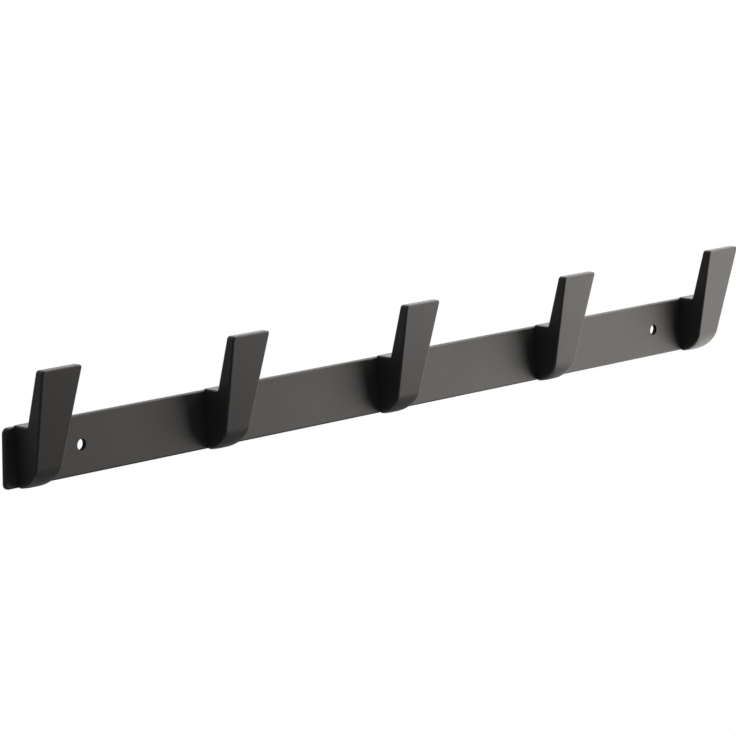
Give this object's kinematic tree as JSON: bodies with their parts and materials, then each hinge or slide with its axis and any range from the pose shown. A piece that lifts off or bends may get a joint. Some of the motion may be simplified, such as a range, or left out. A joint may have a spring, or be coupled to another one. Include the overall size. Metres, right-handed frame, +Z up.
{
  "type": "hook rail",
  "caption": "Wall-mounted coat hook rail: a flat black metal strip with a row of cast hooks whose prongs lean outwards and widen towards the tip.",
  "frame": {"origin": "middle of the strip's back face, half-way between the wall screw holes", "axes": "+X along the strip, to the right seen from the front; +Y into the wall, so that the hooks point to -Y; +Z up"},
  "size_m": [0.4572, 0.0214, 0.0506],
  "materials": {
    "rail_coat": "matt black powder coat on steel strip",
    "hook_coat": "matt black powder coat on zinc casting",
    "screw_steel": "zinc-plated steel"
  },
  "bodies": {
    "root": {"rail": "rail_coat", "hook_1": "hook_coat", "hook_2": "hook_coat", "hook_3": "hook_coat", "hook_4": "hook_coat", "hook_5": "hook_coat", "hook_screws": "screw_steel"}
  },
  "joints": []
}
